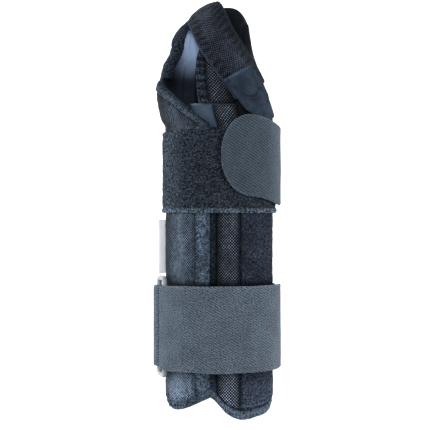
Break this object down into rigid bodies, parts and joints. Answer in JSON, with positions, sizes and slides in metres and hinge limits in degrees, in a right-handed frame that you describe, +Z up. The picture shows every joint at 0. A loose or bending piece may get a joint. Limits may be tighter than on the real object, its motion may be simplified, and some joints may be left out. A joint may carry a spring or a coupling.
{
  "type": "wrist splint",
  "caption": "Tubular wrap wrist brace with a palmar stay, a forearm strap through a ring, a wrist strap and a web strap.",
  "frame": {"origin": "middle of the underside of the splint as it lies on its palmar side", "axes": "+X to the ulnar side of a right hand, +Y to the fingers, +Z up from the palmar to the dorsal side"},
  "size_m": [0.0758, 0.2462, 0.0556],
  "materials": {
    "fine_mesh": "fine woven mesh over foam",
    "open_mesh": "open spacer mesh",
    "loop_pile": "brushed loop pile",
    "binding": "stitched edge binding",
    "lining": "brushed knit lining",
    "side_fabric": "smooth knit",
    "elastic": "woven elastic",
    "suede": "microfibre suede",
    "hook": "moulded hook tape",
    "ring_plastic": "moulded, light grey",
    "stay_metal": "satin",
    "label": "woven satin tape, blank"
  },
  "bodies": {
    "root": {"palmar_shell": "fine_mesh", "palmar_lining": "lining", "palmar_bottom_hem": "binding", "palm_rim_binding": "loop_pile", "radial_flap": "fine_mesh", "radial_lining": "lining", "radial_front_hem": "binding", "radial_bottom_hem": "binding", "thumb_hole_binding": "loop_pile", "ulnar_front_hem": "binding", "ulnar_mesh_panel": "open_mesh", "ulnar_pile_panel": "loop_pile", "ulnar_bottom_hem": "binding", "dorsal_lining": "lining", "hand_lining": "lining", "dorsal_tongue": "open_mesh", "tongue_hem": "binding", "ulnar_side_panel": "side_fabric", "forearm_strap_base": "elastic", "forearm_ring_tab": "elastic", "wrist_cuff": "loop_pile", "wrist_band": "elastic", "web_strap": "open_mesh", "web_tab_root": "suede", "stay_pocket": "lining", "care_label": "label"},
    "ring": {"forearm_ring": "ring_plastic"},
    "forearm_tail": {"forearm_strap_tail": "elastic", "forearm_hook_tab": "hook"},
    "wrist_tail": {"wrist_strap_tail": "elastic", "wrist_hook_tab": "hook"},
    "web_tab": {"web_strap_tab": "suede", "web_hook_patch": "hook"},
    "stay": {"palmar_stay": "stay_metal"}
  },
  "joints": [
    {"name": "forearm_ring_pivot", "type": "hinge", "parent": "root", "child": "ring", "pos_m": [-0.03472, -0.07024, 0.02626], "axis": [0, -1, 0], "range_deg": [0, 15]},
    {"name": "forearm_strap_peel", "type": "hinge", "parent": "ring", "child": "forearm_tail", "pos_m": [-0.03083, -0.07024, 0.03801], "axis": [0, -1, 0], "range_deg": [0, 100]},
    {"name": "wrist_strap_peel", "type": "hinge", "parent": "root", "child": "wrist_tail", "pos_m": [0.037, 0.02466, 0.02888], "axis": [0, 1, 0], "range_deg": [0, 110]},
    {"name": "web_tab_peel", "type": "hinge", "parent": "root", "child": "web_tab", "pos_m": [0.025, 0.05886, 0.04184], "axis": [0.6132, 0.5438, -0.573], "range_deg": [0, 65]},
    {"name": "stay_slide", "type": "slide", "parent": "root", "child": "stay", "axis": [0, -1, 0], "range_m": [0, 0.18]}
  ]
}
